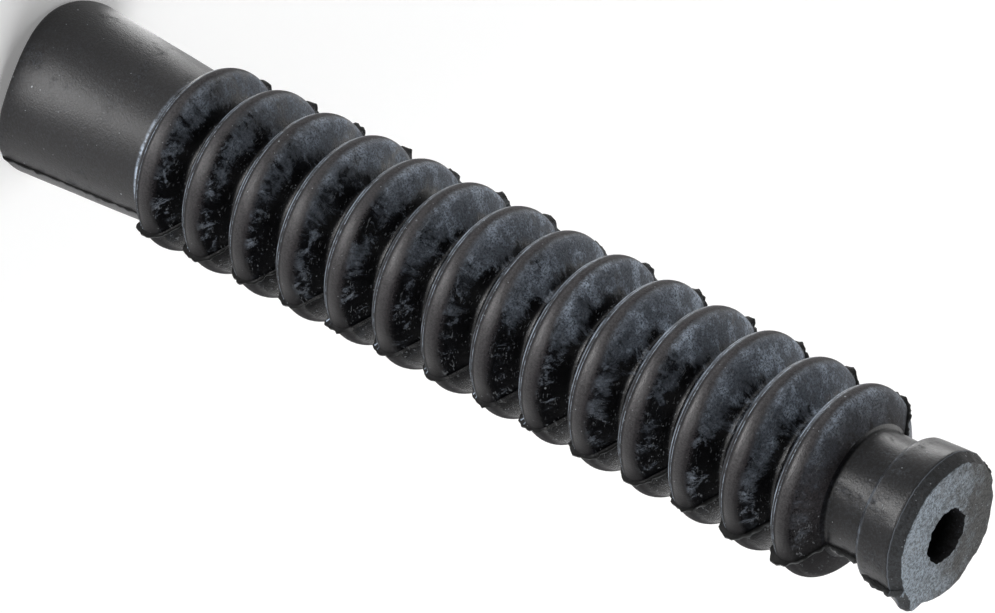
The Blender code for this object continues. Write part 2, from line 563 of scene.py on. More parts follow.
@dataclass
class Boot:
    """The moulded boot: its mesh, the zones painted on it and the finishes it wears."""

    sizes: BootSizes
    flash: Flash = Flash()
    faults: Faults = Faults()
    regular_steps: int = 42
    painted_fin_shade: tuple[float, float] = (0.20 * MM, 0.55 * MM)
    valley: tuple[float, float] = (0.2 * MM, 1.7 * MM)
    merge_distance: float = 0.0005 * MM
    sharp_turn: float = math.radians(55)
    flash_edge: float = 0.05

    def angles(self) -> list[float]:
        """The turns of the spin, one after another, from one fin round to itself.

        Returns:
            The size of each step, which together make a full turn.
        """
        near = self.flash.columns(self.sizes.rib_radius)
        edges = [0.0] + near
        opening = [edges[i + 1] - edges[i] for i in range(len(near))]
        wide = math.pi - 2 * near[-1]
        half = opening + [wide / self.regular_steps] * self.regular_steps + opening[::-1]
        return half * 2

    def spin_outline(self, mesh: bmesh.types.BMesh, stations: list[Station]) -> bmesh.types.BMLayerItem:
        """Turns the outline into the boot's skin.

        Args:
            mesh: The empty mesh that takes it.
            stations: The closed outline.

        Returns:
            The layer that holds each vertex's station.
        """
        layer = mesh.verts.layers.int.new("station")
        loop = []
        for index, station in enumerate(stations):
            vert = mesh.verts.new((station.radius, 0.0, station.height))
            vert[layer] = index
            loop.append(vert)
        geometry = loop + [mesh.edges.new((loop[i - 1], loop[i])) for i in range(len(loop))]
        steps = self.angles()
        index = 0
        while index < len(steps):
            count = 1
            while index + count < len(steps) and abs(steps[index + count] - steps[index]) < 1e-9:
                count += 1
            spun = bmesh.ops.spin(
                mesh, geom=geometry, cent=(0, 0, 0), axis=(0, 0, 1), dvec=(0, 0, 0),
                angle=steps[index] * count, steps=count, use_merge=False, use_duplicate=False)
            geometry = [item for item in spun["geom_last"] if not isinstance(item, bmesh.types.BMFace)]
            index += count
        bmesh.ops.remove_doubles(mesh, verts=mesh.verts[:], dist=self.merge_distance)
        return layer

    def from_fin(self, angle: float) -> tuple[float, int]:
        """How far a column of vertices lies from the middle of the nearest fin.

        Args:
            angle: The column's angle round the axis.

        Returns:
            The distance, and the fin's side: 1 at +X and -1 at -X.
        """
        side = 1 if math.cos(angle) > 0 else -1
        return abs(math.sin(angle)) * self.sizes.rib_radius, side

    def outline_normals(self, stations: list[Station]) -> list[tuple[float, float]]:
        """The outline's own outward direction at each station.

        Args:
            stations: The outline's points, the first one next to the last.

        Returns:
            Each direction, as radius and height.
        """
        normals = []
        for index in range(len(stations)):
            before = stations[index - 1]
            after = stations[(index + 1) % len(stations)]
            along = Vector((after.radius - before.radius, after.height - before.height)).normalized()
            normals.append((along.y, -along.x))
        return normals

    def trimmed(self, station: Station, angle: float) -> tuple[float, float]:
        """The station's radius and height where the cable end was trimmed and the hole tore.

        Args:
            station: The point of the outline.
            angle: The column's angle.

        Returns:
            The new radius and height.
        """
        s = self.sizes
        f = self.faults
        radius, height = station.radius, station.height
        around = outward(angle)
        if station.zone in END_FACES and height > s.step_height:
            close = fade(height, s.height - 2.2 * s.bevel_height, s.height)
            outer = fade(radius, s.hole_radius + 1.0 * MM, s.collar_top_radius - s.bevel_width)
            rim = around * (s.collar_radius / f.trim_size)
            ragged = noise.noise(rim + Vector((3.1, 0.4, 8.0)))
            fine = noise.noise(rim * 3.1 + Vector((1.7, 5.2, 0.0)))
            radius += f.trim * (ragged + 0.85 * fine) * close * outer
            turned = math.remainder(angle - f.tag_turn, math.tau) / f.tag_width
            radius += f.tag * math.exp(-turned * turned) * close * outer
            if station.zone is Zone.BEVEL:
                spot = Vector((around.x * radius, around.y * radius, height))
                radius += f.pit * noise.noise(spot / f.pit_size)
        if station.zone in (Zone.HOLE, Zone.FACE):
            deep = fade(height, s.height - f.hole_tear_depth, s.height - 0.1 * MM)
            near = 1.0 - fade(radius, s.hole_radius + 0.1 * MM, s.hole_radius + 0.9 * MM)
            edge = around * (s.hole_radius / f.hole_tear_size)
            tear = noise.noise(edge + Vector((6.2, 2.0, 4.4)))
            nick = noise.noise(edge * 2.9 + Vector((2.2, 7.0, 4.4)))
            radius += f.hole_tear * (tear + 1.1 * nick) * near * (0.25 + 0.75 * deep)
            radius += (f.hole_swell + f.hole_shift * math.cos(angle + math.pi - f.bow_turn)) * near
        return radius, height

    def shape(self, mesh: bmesh.types.BMesh, layer: bmesh.types.BMLayerItem,
              stations: list[Station]) -> None:
        """Moves the turned skin's vertices: trimming, flash, and the moulding's faults.

        Args:
            mesh: The turned skin.
            layer: The layer with each vertex's station.
            stations: The outline.
        """
        s = self.sizes
        normals = self.outline_normals(stations)
        middle = (s.sleeve_length + s.last_crest) / 2
        half = (s.last_crest - s.sleeve_length) / 2
        flash = self.flash
        fins = {side: [flash.height_at(station, side, s) for station in stations] for side in (1, -1)}
        lumps = {side: [flash.lumpiness(station, side, s) for station in stations] for side in (1, -1)}
        for vert in mesh.verts:
            index = vert[layer]
            station = stations[index]
            angle = math.atan2(vert.co.y, vert.co.x)
            radius, height = self.trimmed(station, angle)
            offset, side = self.from_fin(angle)
            fin = fins[side][index] * flash.share(offset, lumps[side][index])
            radius += normals[index][0] * fin
            if station.height < s.height and station.zone is not Zone.RIM:
                height += normals[index][1] * fin
            height += self.faults.mouth_offset(station.height, angle)
            point = Vector((radius * math.cos(angle), radius * math.sin(angle), height))
            if station.zone in RIBBED or station.zone is Zone.CAVITY:
                rib = (station.height - s.sleeve_length) / s.rib_pitch
                inside = fade(rib, -0.4, 0.0) * (1.0 - fade(rib, s.rib_count - 1.0, s.rib_count - 0.5))
                point += self.faults.rib_offset(rib, radius, angle) * inside
            if station.zone not in (Zone.RIM, Zone.FACE):
                wave = noise.noise(point / self.faults.ripple_size)
                point += outward(angle) * self.faults.ripple * wave
            point += self.faults.bow_offset((station.height - middle) / half)
            vert.co = point

    def skin_of(self, face: bmesh.types.BMFace, layer: bmesh.types.BMLayerItem,
                stations: list[Station]) -> Skin:
        """The finish of a face, from its place in the outline and on the fins.

        Args:
            face: The face.
            layer: The layer with each vertex's station.
            stations: The outline.

        Returns:
            The finish.
        """
        found = [vert[layer] for vert in face.verts]
        closing = min(found) == 0 and max(found) == len(stations) - 1
        station = stations[0 if closing else max(found)]
        skin = SKIN_OF_ZONE[station.zone]
        centre = face.calc_center_median()
        offset, side = self.from_fin(math.atan2(centre.y, centre.x))
        share = self.flash.share(offset, self.flash.lumpiness(station, side, self.sizes))
        if share > self.flash_edge and skin in (Skin.RIBS, Skin.COLLAR, Skin.SLEEVE):
            return Skin.FLASH
        return skin

    def lay_zones(self, mesh: bpy.types.Mesh, stations: list[Station]) -> None:
        """Writes the attributes that the finishes read.

        Args:
            mesh: The finished mesh, with a station on each vertex.
            stations: The outline.
        """
        s = self.sizes
        arc = [0.0]
        for before, after in zip(stations, stations[1:]):
            arc.append(arc[-1] + math.hypot(after.radius - before.radius, after.height - before.height))
        mesh.attributes.new("rolled", "FLOAT_VECTOR", "POINT")
        mesh.attributes.new("zones", "FLOAT_COLOR", "POINT")
        rolled, zones, index_of = (mesh.attributes[name].data for name in ("rolled", "zones", "station"))
        for number, vert in enumerate(mesh.vertices):
            index = index_of[number].value
            station = stations[index]
            angle = math.atan2(vert.co.y, vert.co.x)
            ring = outward(angle) * (s.rib_radius / MM)
            rolled[number].vector = (ring.x, ring.y, arc[index] / MM)
            from_crest, across, valley = 1.0, 0.0, 0.0
            if station.rib >= 0:
                off = (station.height - s.crest_height(station.rib)) / (2.0 * s.crest_reach)
                from_crest = min(1.0, abs(off))
                across = min(1.0, max(0.0, 0.5 + off))
                valley = 1.0 - fade(station.radius - s.root_radius, *self.valley)
            # Painted shade beside the fins: this mask, kept in the zones' alpha, darkens the ribs next to
            # each fin.
            painted_fin_shade = 1.0 - fade(self.from_fin(angle)[0], *self.painted_fin_shade)
            zones[number].color = (from_crest, across, valley, painted_fin_shade)

    def build(self) -> bpy.types.Object:
        """Builds the boot's mesh as one closed skin.

        Returns:
            The boot, at the origin.
        """
        stations = Outline(self.sizes).draw()
        skin = bmesh.new()
        layer = self.spin_outline(skin, stations)
        self.shape(skin, layer, stations)
        bmesh.ops.recalc_face_normals(skin, faces=skin.faces[:])
        for face in skin.faces:
            face.smooth = True
            face.material_index = self.skin_of(face, layer, stations).value
        mesh = bpy.data.meshes.new("moulded_boot")
        skin.to_mesh(mesh)
        skin.free()
        self.lay_zones(mesh, stations)
        mesh.set_sharp_from_angle(angle=self.sharp_turn)
        return stand("moulded_boot", mesh)


class Kit:
    """Short names for the nodes that the finishes and groups are wired from.

    A value that a node is given is an output socket, which is linked, or a plain value, which is set.
    """

    def __init__(self, tree: Tree) -> None:
        """Works in one node tree."""
        self.tree = tree

    def fill(self, node: Node, values: dict[int | str, object]) -> Node:
        """Links or sets a node's inputs.

        Args:
            node: The node.
            values: What its inputs take.

        Returns:
            The node.
        """
        for label, value in values.items():
            if isinstance(value, Socket):
                self.tree.links.new(value, node.inputs[label])
            else:
                node.inputs[label].default_value = value
        return node

    def add(self, kind: str, values: dict[int | str, object], **settings: object) -> Node:
        """Adds a node.

        Args:
            kind: Its type, without the word Shader and what stands before it.
            values: What its inputs take.
            settings: Its own settings.

        Returns:
            The node.
        """
        node = self.tree.nodes.new("ShaderNode" + kind)
        for label, value in settings.items():
            setattr(node, label, value)
        return self.fill(node, values)

    def math(self, operation: str, *values: object) -> Socket:
        """The result of a Math node, which takes one to three values."""
        return self.add("Math", dict(enumerate(values)), operation=operation).outputs[0]

    def times(self, first: object, second: object) -> Socket:
        """The product of two values."""
        return self.math("MULTIPLY", first, second)

    def minus(self, first: object, second: object) -> Socket:
        """The first value less the second."""
        return self.math("SUBTRACT", first, second)

    def gap(self, first: object, second: object) -> Socket:
        """How far apart two values are."""
        return self.math("ABSOLUTE", self.minus(first, second))

    def without(self, mask: object, share: float) -> Socket:
        """What a mask leaves over, where the mask takes away a share at most."""
        return self.minus(1.0, self.times(mask, share))

    def stretch(self, vector: object, scale: object) -> Socket:
        """A vector scaled along each axis."""
        return self.add("VectorMath", {0: vector, 1: scale}, operation="MULTIPLY").outputs[0]

    def noise(self, vector: object, size: object, detail: float = 2.0, roughness: float = 0.5,
              distortion: float = 0.0) -> Socket:
        """The factor of a Noise Texture.

        Args:
            vector: The coordinates.
            size: The scale.
            detail: How many octaves it adds.
            roughness: How strong they are.
            distortion: How far it is warped.

        Returns:
            Its factor.
        """
        return self.add("TexNoise", {
            "Vector": vector, "Scale": size, "Detail": detail, "Roughness": roughness,
            "Distortion": distortion}).outputs[0]

    def ramp(self, value: object, low: object, high: object, start: object = 0.0,
             end: object = 1.0) -> Socket:
        """A value mapped smoothly to another range.

        Args:
            value: The value to map.
            low: Where the source range starts.
            high: Where it ends.
            start: The result at low.
            end: The result at high.

        Returns:
            The mapped value.
        """
        return self.add("MapRange", {
            "Value": value, "From Min": low, "From Max": high, "To Min": start, "To Max": end},
            interpolation_type="SMOOTHSTEP").outputs["Result"]

    def mix_colour(self, share: object, first: object, second: object) -> Socket:
        """A colour that goes from the first to the second as the share rises."""
        return self.add("Mix", {0: share, 6: first, 7: second}, data_type="RGBA").outputs[2]

    def mix_value(self, share: object, first: object, second: object) -> Socket:
        """A value that goes from the first to the second as the share rises."""
        return self.add("Mix", {0: share, 2: first, 3: second}, data_type="FLOAT").outputs[0]

    def group(self, tree: Tree, values: dict[int | str, object]) -> Socket:
        """Places a group and gives its one output."""
        return self.add("Group", values, node_tree=tree).outputs[0]


class Groups:
    """The shader node groups that the finishes share, each built once, when it is first asked for."""

    @staticmethod
    def start(name: str, inputs: dict[str, object], output: str) -> tuple[Kit, object, Node]:
        """Makes an empty group with its sockets.

        Args:
            name: The group's name.
            inputs: Each input's own value, a number or a vector.
            output: The name of its one output, a number.

        Returns:
            A kit for its tree, the sockets that bring its inputs, and its output node.
        """
        tree = bpy.data.node_groups.new(name, "ShaderNodeTree")
        for label, value in inputs.items():
            kind = "NodeSocketFloat" if isinstance(value, float) else "NodeSocketVector"
            tree.interface.new_socket(label, in_out="INPUT", socket_type=kind).default_value = value
        tree.interface.new_socket(output, in_out="OUTPUT", socket_type="NodeSocketFloat")
        return Kit(tree), tree.nodes.new("NodeGroupInput").outputs, tree.nodes.new("NodeGroupOutput")

    @cached_property
    def mottle(self) -> Tree:
        """Soft-edged patches, such as bloom and dust, broken up by a finer noise.

        Returns:
            The group, with Vector, Size, Cover, Edge and Break in and Mask out.
        """
        kit, given, out = self.start(
            "mottle", {"Vector": ORIGIN, "Size": 1.0, "Cover": 0.5, "Edge": 0.1, "Break": 0.3}, "Mask")
        broad = kit.noise(given["Vector"], given["Size"], detail=4.0, roughness=0.6)
        fine = kit.noise(given["Vector"], kit.times(given["Size"], 7.0), detail=6.0, roughness=0.7)
        mixed = kit.math("MULTIPLY_ADD", kit.minus(fine, 0.5), given["Break"], broad)
        level = kit.minus(1.0, given["Cover"])
        mask = kit.ramp(mixed, kit.minus(level, given["Edge"]), kit.math("ADD", level, given["Edge"]))
        kit.fill(out, {"Mask": mask})
        return kit.tree

    @cached_property
    def grain(self) -> Tree:
        """The fine skin that the mould left on the rubber, with a slow waviness under it.

        Returns:
            The group, with Vector, Size and Wave in and Height out.
        """
        kit, given, out = self.start("grain", {"Vector": ORIGIN, "Size": 6000.0, "Wave": 0.3}, "Height")
        fine = kit.noise(given["Vector"], given["Size"], detail=3.0, roughness=0.6)
        slow = kit.noise(given["Vector"], kit.times(given["Size"], 0.12), detail=2.0, roughness=0.5)
        kit.fill(out, {"Height": kit.math("MULTIPLY_ADD", slow, given["Wave"], fine)})
        return kit.tree

    @cached_property
    def scratches(self) -> Tree:
        """Fine broken lines that run one way, such as scuffs and knife marks.

        Returns:
            The group, with Vector, Size, Stretch and Cover in and Mask out.
        """
        kit, given, out = self.start(
            "scratches", {"Vector": ORIGIN, "Size": 1.0, "Stretch": (1.0, 1.0, 1.0), "Cover": 0.3}, "Mask")
        stretched = kit.stretch(given["Vector"], given["Stretch"])
        lines = kit.noise(stretched, given["Size"], detail=2.0, roughness=0.55)
        gaps = kit.noise(given["Vector"], kit.times(given["Size"], 0.2), detail=2.0)
        level = kit.minus(0.78, given["Cover"])
        line_mask = kit.ramp(lines, level, kit.math("ADD", level, 0.08))
        kit.fill(out, {"Mask": kit.times(line_mask, kit.ramp(gaps, 0.45, 0.6))})
        return kit.tree

    @cached_property
    def specks(self) -> Tree:
        """Single grains of dust, scattered, some fainter than others.

        Returns:
            The group, with Vector, Size and Share in and Mask out.
        """
        kit, given, out = self.start("specks", {"Vector": ORIGIN, "Size": 1000.0, "Share": 0.2}, "Mask")
        cells = kit.add("TexVoronoi", {"Vector": given["Vector"], "Scale": given["Size"]}, feature="F1")
        dot = kit.ramp(cells.outputs["Distance"], 0.14, 0.26, 1.0, 0.0)
        pick = kit.add("SeparateColor", {"Color": cells.outputs["Color"]}).outputs
        kept = kit.math("LESS_THAN", pick["Red"], given["Share"])
        kept = kit.times(kept, kit.math("POWER", pick["Green"], 1.5))
        kit.fill(out, {"Mask": kit.times(dot, kept)})
        return kit.tree


@dataclass(frozen=True)
class Rubber:
    """One finish of the black rubber."""

    name: str
    base: Colour = (0.011, 0.010, 0.010, 1.0)
    bloom: Colour = (0.142, 0.164, 0.200, 1.0)
    dust: Colour = (0.30, 0.32, 0.34, 1.0)
    wet: Colour = (0.0015, 0.0015, 0.002, 1.0)
    crest: Colour = (0.044, 0.040, 0.043, 1.0)
    thick_bloom: Colour = (0.500, 0.585, 0.705, 1.0)
    powder_gap: Colour = (0.060, 0.070, 0.086, 1.0)
    roughness: float = 0.46
    bloom_roughness: float = 0.70
    wet_roughness: float = 0.16
    dull_roughness: float = 0.85
    bloom_cover: float = 0.35
    bloom_size: float = 0.3
    bloom_edge: float = 0.12
    bloom_break: float = 0.5
    powder_size: float = 3600.0
    grain_size: float = 5200.0
    grain_wave: float = 0.5
    grain_depth: float = 0.016 * MM
    speck_share: float = 0.05
    speck_size: float = 3400.0
    large_speck_size: float = 1900.0
    specular: float = 0.5
    haze: float = 0.12
    end_length: float = 12.1 * MM
    painted_highlight_depth: float = 1.2 * MM
    joint_height: float = 17.4 * MM
    joint_share: float = 1.0
    outer_glint_line: float = 0.14
    inner_glint_line: float = 0.285


class Coat:
    """A material being wired: its tree, its finish and the coordinates that its patterns read."""

    def __init__(self, look: Rubber, groups: Groups) -> None:
        """Makes the material with its Principled shader.

        Args:
            look: The finish.
            groups: The shared node groups.
        """
        self.look = look
        self.groups = groups
        self.material = bpy.data.materials.new(look.name)
        self.material.use_nodes = True
        self.kit = Kit(self.material.node_tree)
        self.shader = self.material.node_tree.nodes["Principled BSDF"]
        self.place = self.kit.add("TexCoord", {}).outputs["Object"]
        self.axes = self.kit.add("SeparateXYZ", {0: self.place}).outputs

    def attribute(self, name: str, output: str) -> Socket:
        """Reads one of the mesh's attributes."""
        return self.kit.add("Attribute", {}, attribute_name=name).outputs[output]

    @cached_property
    def rolled(self) -> Socket:
        """The place unrolled round the boot, in millimetres."""
        return self.attribute("rolled", "Vector")

    @cached_property
    def side(self) -> Socket:
        """How a place faces the side where dust settled: -1 on the clean side, 1 on the dusty one."""
        return self.facing(self.rolled, DUST_TURN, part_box(NODE)[1].y / MM)

    def facing(self, place: Socket, turn: float, reach: float) -> Socket:
        """How far a place lies in one direction from the axis.

        Args:
            place: The place.
            turn: The direction, in degrees round the axis.
            reach: The distance that counts as 1.

        Returns:
            The distance as a share of the reach.
        """
        angle = math.radians(turn)
        towards = (math.cos(angle) / reach, math.sin(angle) / reach, 0.0)
        return self.kit.add("VectorMath", {0: place, 1: towards}, operation="DOT_PRODUCT").outputs["Value"]

    def powder(self, size: float, detail: float, roughness: float, low: float, high: float,
               start: float = 0.0) -> Socket:
        """The fine grain of a powder that lies on the rubber.

        Args:
            size: How fine it is, as a noise's scale over the place in metres.
            detail: How many octaves it has.
            roughness: How strong they are.
            low: The noise at which a grain starts.
            high: The noise at which it is full.
            start: How much lies between the grains.

        Returns:
            The powder's mask.
        """
        return self.kit.ramp(self.kit.noise(self.place, size, detail, roughness), low, high, start)

    def specked(self, colour: object) -> Socket:
        """Adds grains of dust, many small ones and a few large ones.

        Args:
            colour: The colour under the dust.

        Returns:
            The colour with the dust on it.
        """
        look, kit = self.look, self.kit
        sizes = ((look.speck_size, 1.0), (look.large_speck_size, 0.3))
        grains = [kit.group(self.groups.specks, {
            "Vector": self.place, "Size": size, "Share": part * look.speck_share}) for size, part in sizes]
        return kit.mix_colour(kit.times(kit.math("MAXIMUM", *grains), 0.85), colour, look.dust)

    def mould_grain(self) -> Socket:
        """The mould's fine skin, as a height."""
        return self.kit.group(self.groups.grain, {
            "Vector": self.place, "Size": self.look.grain_size, "Wave": self.look.grain_wave})

    def close(self, colour: Socket, roughness: object, relief: Socket) -> None:
        """Puts the results on the shader.

        Args:
            colour: The colour.
            roughness: The roughness, even or over the surface.
            relief: The height that the bump reads.
        """
        bump = self.kit.add("Bump", {"Strength": 1.0, "Distance": self.look.grain_depth, "Height": relief})
        self.kit.fill(self.shader, {
            "Base Color": colour, "Roughness": roughness, "Specular IOR Level": self.look.specular,
            "Normal": bump.outputs[0]})


class SmoothCoat(Coat):
    """Clean satin rubber with a thin, patchy bloom, as on the sleeve, the neck and the collar."""

    def wire(self) -> None:
        """Wires the bloom, the pale broken line at the joint, which is dust where the sleeve meets the
        first rib and a painted highlight on the collar's step edge, and the specks.
        """
        look, kit = self.look, self.kit
        bloom = kit.group(self.groups.mottle, {
            "Vector": self.rolled, "Size": look.bloom_size, "Cover": look.bloom_cover,
            "Edge": look.bloom_edge, "Break": look.bloom_break})
        powder = self.powder(look.powder_size, 4.0, 0.8, 0.44, 0.64)
        thin = kit.times(powder, kit.mix_value(bloom, look.haze, 3.0 * look.haze))
        colour = kit.mix_colour(thin, look.base, look.bloom)
        # The pale joint line: dust at the sleeve's joint with the first rib, a painted highlight along the
        # rounded step edge on the collar.
        away = kit.gap(self.axes["Z"], look.joint_height)
        joint_dust_and_highlight = kit.ramp(away, 0.08 * MM, 0.40 * MM, look.joint_share, 0.0)
        patchy = kit.ramp(kit.noise(self.rolled, 0.9, detail=4.0, roughness=0.7), 0.40, 0.60, 0.15)
        patchy = kit.times(patchy, kit.ramp(self.side, -0.3, 0.7, 1.0, 0.25))
        colour = kit.mix_colour(kit.times(joint_dust_and_highlight, patchy), colour, look.thick_bloom)
        roughness = kit.mix_value(bloom, look.roughness, look.bloom_roughness)
        self.close(self.specked(colour), roughness, self.mould_grain())


class FlashCoat(Coat):
    """The fin's dull black skin, with a painted highlight along its ridge."""

    def wire(self) -> None:
        """Wires the painted highlight along the ridge."""
        look, kit = self.look, self.kit
        # Painted highlight: the fin's ridge, broken by a noise, is paler.
        edge = kit.ramp(kit.gap(self.axes["Y"], 0.0), 0.03 * MM, 0.10 * MM, 1.0, 0.0)
        ridge_highlight = self.powder(900.0, 3.0, 0.5, 0.35, 0.6, 0.2)
        colour = kit.mix_colour(kit.times(edge, ridge_highlight), look.base, look.bloom)
        self.close(colour, look.roughness, self.mould_grain())


class RibCoat(Coat):
    """The bellows: clean crests, dust on the flanks, and glossy black rubbed through it."""

    def __init__(self, look: Rubber, groups: Groups) -> None:
        """Reads the painted zones and makes the noises that several effects share.

        Args:
            look: The finish.
            groups: The shared node groups.
        """
        super().__init__(look, groups)
        kit = self.kit
        zones = kit.add("SeparateColor", {"Color": self.attribute("zones", "Color")}).outputs
        self.from_crest, self.across, self.valley = zones["Red"], zones["Green"], zones["Blue"]
        self.painted_fin_shade = self.attribute("zones", "Alpha")
        self.slow = self.centred(self.rolled, 0.20, 4.0, 0.6, 0.8)
        self.ragged = self.centred(self.rolled, 1.5, 5.0, 0.75, 0.7)
        self.smear = self.centred(kit.stretch(self.rolled, (1.25, 1.25, 0.7)), 0.8, 7.0, 0.72, 0.9)
        last = boot_top() - look.end_length
        self.end = kit.ramp(self.axes["Z"], last + 0.3 * MM, last + 1.6 * MM)

    def centred(self, place: Socket, size: float, detail: float, roughness: float, warp: float) -> Socket:
        """A warped noise about 0.

        Args:
            place: The coordinates.
            size: The scale.
            detail: How many octaves it adds.
            roughness: How strong they are.
            warp: How far it is warped.

        Returns:
            The noise.
        """
        return self.kit.minus(self.kit.noise(place, size, detail, roughness, warp), 0.5)

    def up(self, low: float, high: float, start: float, end: float) -> Socket:
        """A value that changes up the boot.

        Args:
            low: Where it starts to change, as a share of the boot's height.
            high: Where it stops.
            start: The value below.
            end: The value above.

        Returns:
            The value.
        """
        top = boot_top()
        return self.kit.ramp(self.axes["Z"], low * top, high * top, start, end)

    def painted_glint_ring_line(self, gaps: Socket, place: float, strength: float) -> Socket:
        """One of the fine lines that the mould left round the lower side of each crest, painted pale as a
        glint.

        Args:
            gaps: A slow noise about 0, which breaks the line.
            place: Where across the crest the line runs, from 0 at the mouth's side to 1.
            strength: How strong the line is.

        Returns:
            The line's mask.
        """
        kit = self.kit
        away = kit.math("MULTIPLY_ADD", self.ragged, 0.02, kit.gap(self.across, place))
        return kit.times(kit.ramp(away, 0.008, 0.026, strength, 0.0), kit.ramp(gaps, -0.08, 0.10, 0.1))

    def clean_crest(self) -> Socket:
        """The rubbed crest, which is narrower on the dusty side.

        Returns:
            Its mask.
        """
        kit = self.kit
        dusty_half = kit.ramp(self.side, 0.0, 0.9)
        edge = kit.math("MULTIPLY_ADD", self.ragged, 0.16, self.from_crest)
        start = kit.mix_value(dusty_half, 0.30, 0.06)
        return kit.ramp(edge, start, kit.mix_value(dusty_half, 0.52, 0.34), 1.0, 0.0)

    def islands(self) -> Socket:
        """The single smears of dust that lie on the glossy black as well.

        Returns:
            Their mask.
        """
        kit = self.kit
        level = kit.noise(self.rolled, 0.42, detail=5.0, roughness=0.65, distortion=1.2)
        level = kit.math("MULTIPLY_ADD", self.ragged, 0.45, level)
        level = kit.math("MULTIPLY_ADD", self.valley, -0.15, level)
        return kit.ramp(level, 0.50, 0.68, 0.0, 0.8)

    def dust(self, islands: Socket, off_crest: Socket) -> Socket:
        """How much dust lies on the flanks.

        Args:
            islands: The mask of the single smears.
            off_crest: The mask of everything but the crests.

        Returns:
            The dust's mask.
        """
        kit = self.kit
        level = kit.math("MULTIPLY_ADD", self.side, 0.50, kit.times(self.valley, -0.45))
        broken = kit.math("MULTIPLY_ADD", self.smear, 1.1, kit.times(self.slow, 1.9))
        level = kit.math("ADD", kit.math("ADD", level, broken), self.up(0.15, 0.9, -0.13, 0.13))
        dust = kit.times(kit.math("MAXIMUM", kit.ramp(level, -0.10, 0.50), islands), off_crest)
        upper = kit.ramp(self.across, 0.35, 0.65)
        # Less dust beside the fins: painted shade there.
        shares = (kit.mix_value(upper, 0.4, 1.0), kit.ramp(self.side, -0.85, -0.45, 0.06),
                  kit.without(self.painted_fin_shade, 0.8), kit.mix_value(self.end, 1.0, 0.35))
        for share in shares:
            dust = kit.times(dust, share)
        return dust

    def dust_colour(self, powder: Socket, islands: Socket) -> Socket:
        """The colour of the dust, paler where it lies thick.

        Args:
            powder: The mask of its grains.
            islands: The mask of the single smears.

        Returns:
            The colour.
        """
        look, kit = self.look, self.kit
        thick = kit.ramp(kit.noise(self.rolled, 0.32, detail=6.0, roughness=0.66), 0.45, 0.62)
        thick = kit.times(thick, kit.ramp(self.side, -0.2, 0.9, 0.15))
        thick = kit.times(thick, self.up(0.2, 0.7, 0.40, 1.0))
        thick = kit.math("MAXIMUM", thick, kit.times(islands, 0.35))
        return kit.mix_colour(powder, look.powder_gap, kit.mix_colour(thick, look.bloom, look.thick_bloom))

    def wire(self) -> None:
        """Wires the crests, the dust, the scuffs and the painted glint lines over the glossy black, with
        painted shade on the crests' mouth side and beside the fins.
        """
        look, kit = self.look, self.kit
        crest = self.clean_crest()
        off_crest = kit.minus(1.0, crest)
        islands = self.islands()
        dust = self.dust(islands, off_crest)
        powder = self.powder(look.powder_size, 4.0, 0.75, 0.36, 0.60)
        fine = self.powder(4600.0, 3.0, 0.8, 0.36, 0.62, 0.3)
        # Painted shade: the crest's colour is darkened on its mouth side, where this mask is low; the same
        # mask roughens that side.
        above_painted_shade = kit.ramp(kit.math("MULTIPLY_ADD", self.ragged, 0.08, self.across), 0.36, 0.46)
        clean = kit.math("MAXIMUM", kit.times(crest, kit.mix_value(above_painted_shade, 0.30, 1.0)), self.end)
        # Painted shade beside the fins takes the crest's colour away there.
        clean = kit.times(clean, kit.without(self.painted_fin_shade, 0.9))
        shown = kit.times(clean, kit.ramp(self.side, -0.75, 0.0, 0.22))
        colour = kit.mix_colour(kit.times(shown, fine), look.wet, look.crest)
        colour = kit.mix_colour(dust, colour, self.dust_colour(powder, islands))
        scuff = kit.group(self.groups.scratches, {
            "Vector": self.rolled, "Size": 3.4, "Stretch": (0.45, 0.45, 1.6), "Cover": 0.19})
        colour = kit.mix_colour(kit.times(kit.times(scuff, off_crest), 0.30), colour, look.dust)
        # Painted glints: the mould's ring lines are coloured pale as a glint, and their bump is real
        # relief.
        lines = kit.math("MAXIMUM", self.painted_glint_ring_line(self.slow, look.outer_glint_line, 0.90),
                         self.painted_glint_ring_line(self.smear, look.inner_glint_line, 0.45))
        colour = kit.mix_colour(lines, colour, look.thick_bloom)
        satin = kit.mix_value(fine, look.roughness - 0.06, look.roughness + 0.04)
        dull = kit.ramp(kit.gap(self.side, 0.0), 0.55, 0.85)
        satin = kit.mix_value(dull, kit.mix_value(above_painted_shade, look.dull_roughness, satin), look.dull_roughness)
        skin = kit.mix_value(kit.math("MAXIMUM", crest, self.end), look.wet_roughness, satin)
        roughness = kit.mix_value(dust, skin, look.bloom_roughness)
        crust = kit.math("MULTIPLY_ADD", dust, kit.mix_value(powder, 0.3, 1.1), self.mould_grain())
        self.close(self.specked(colour), roughness, kit.math("MULTIPLY_ADD", lines, 1.2, crust))


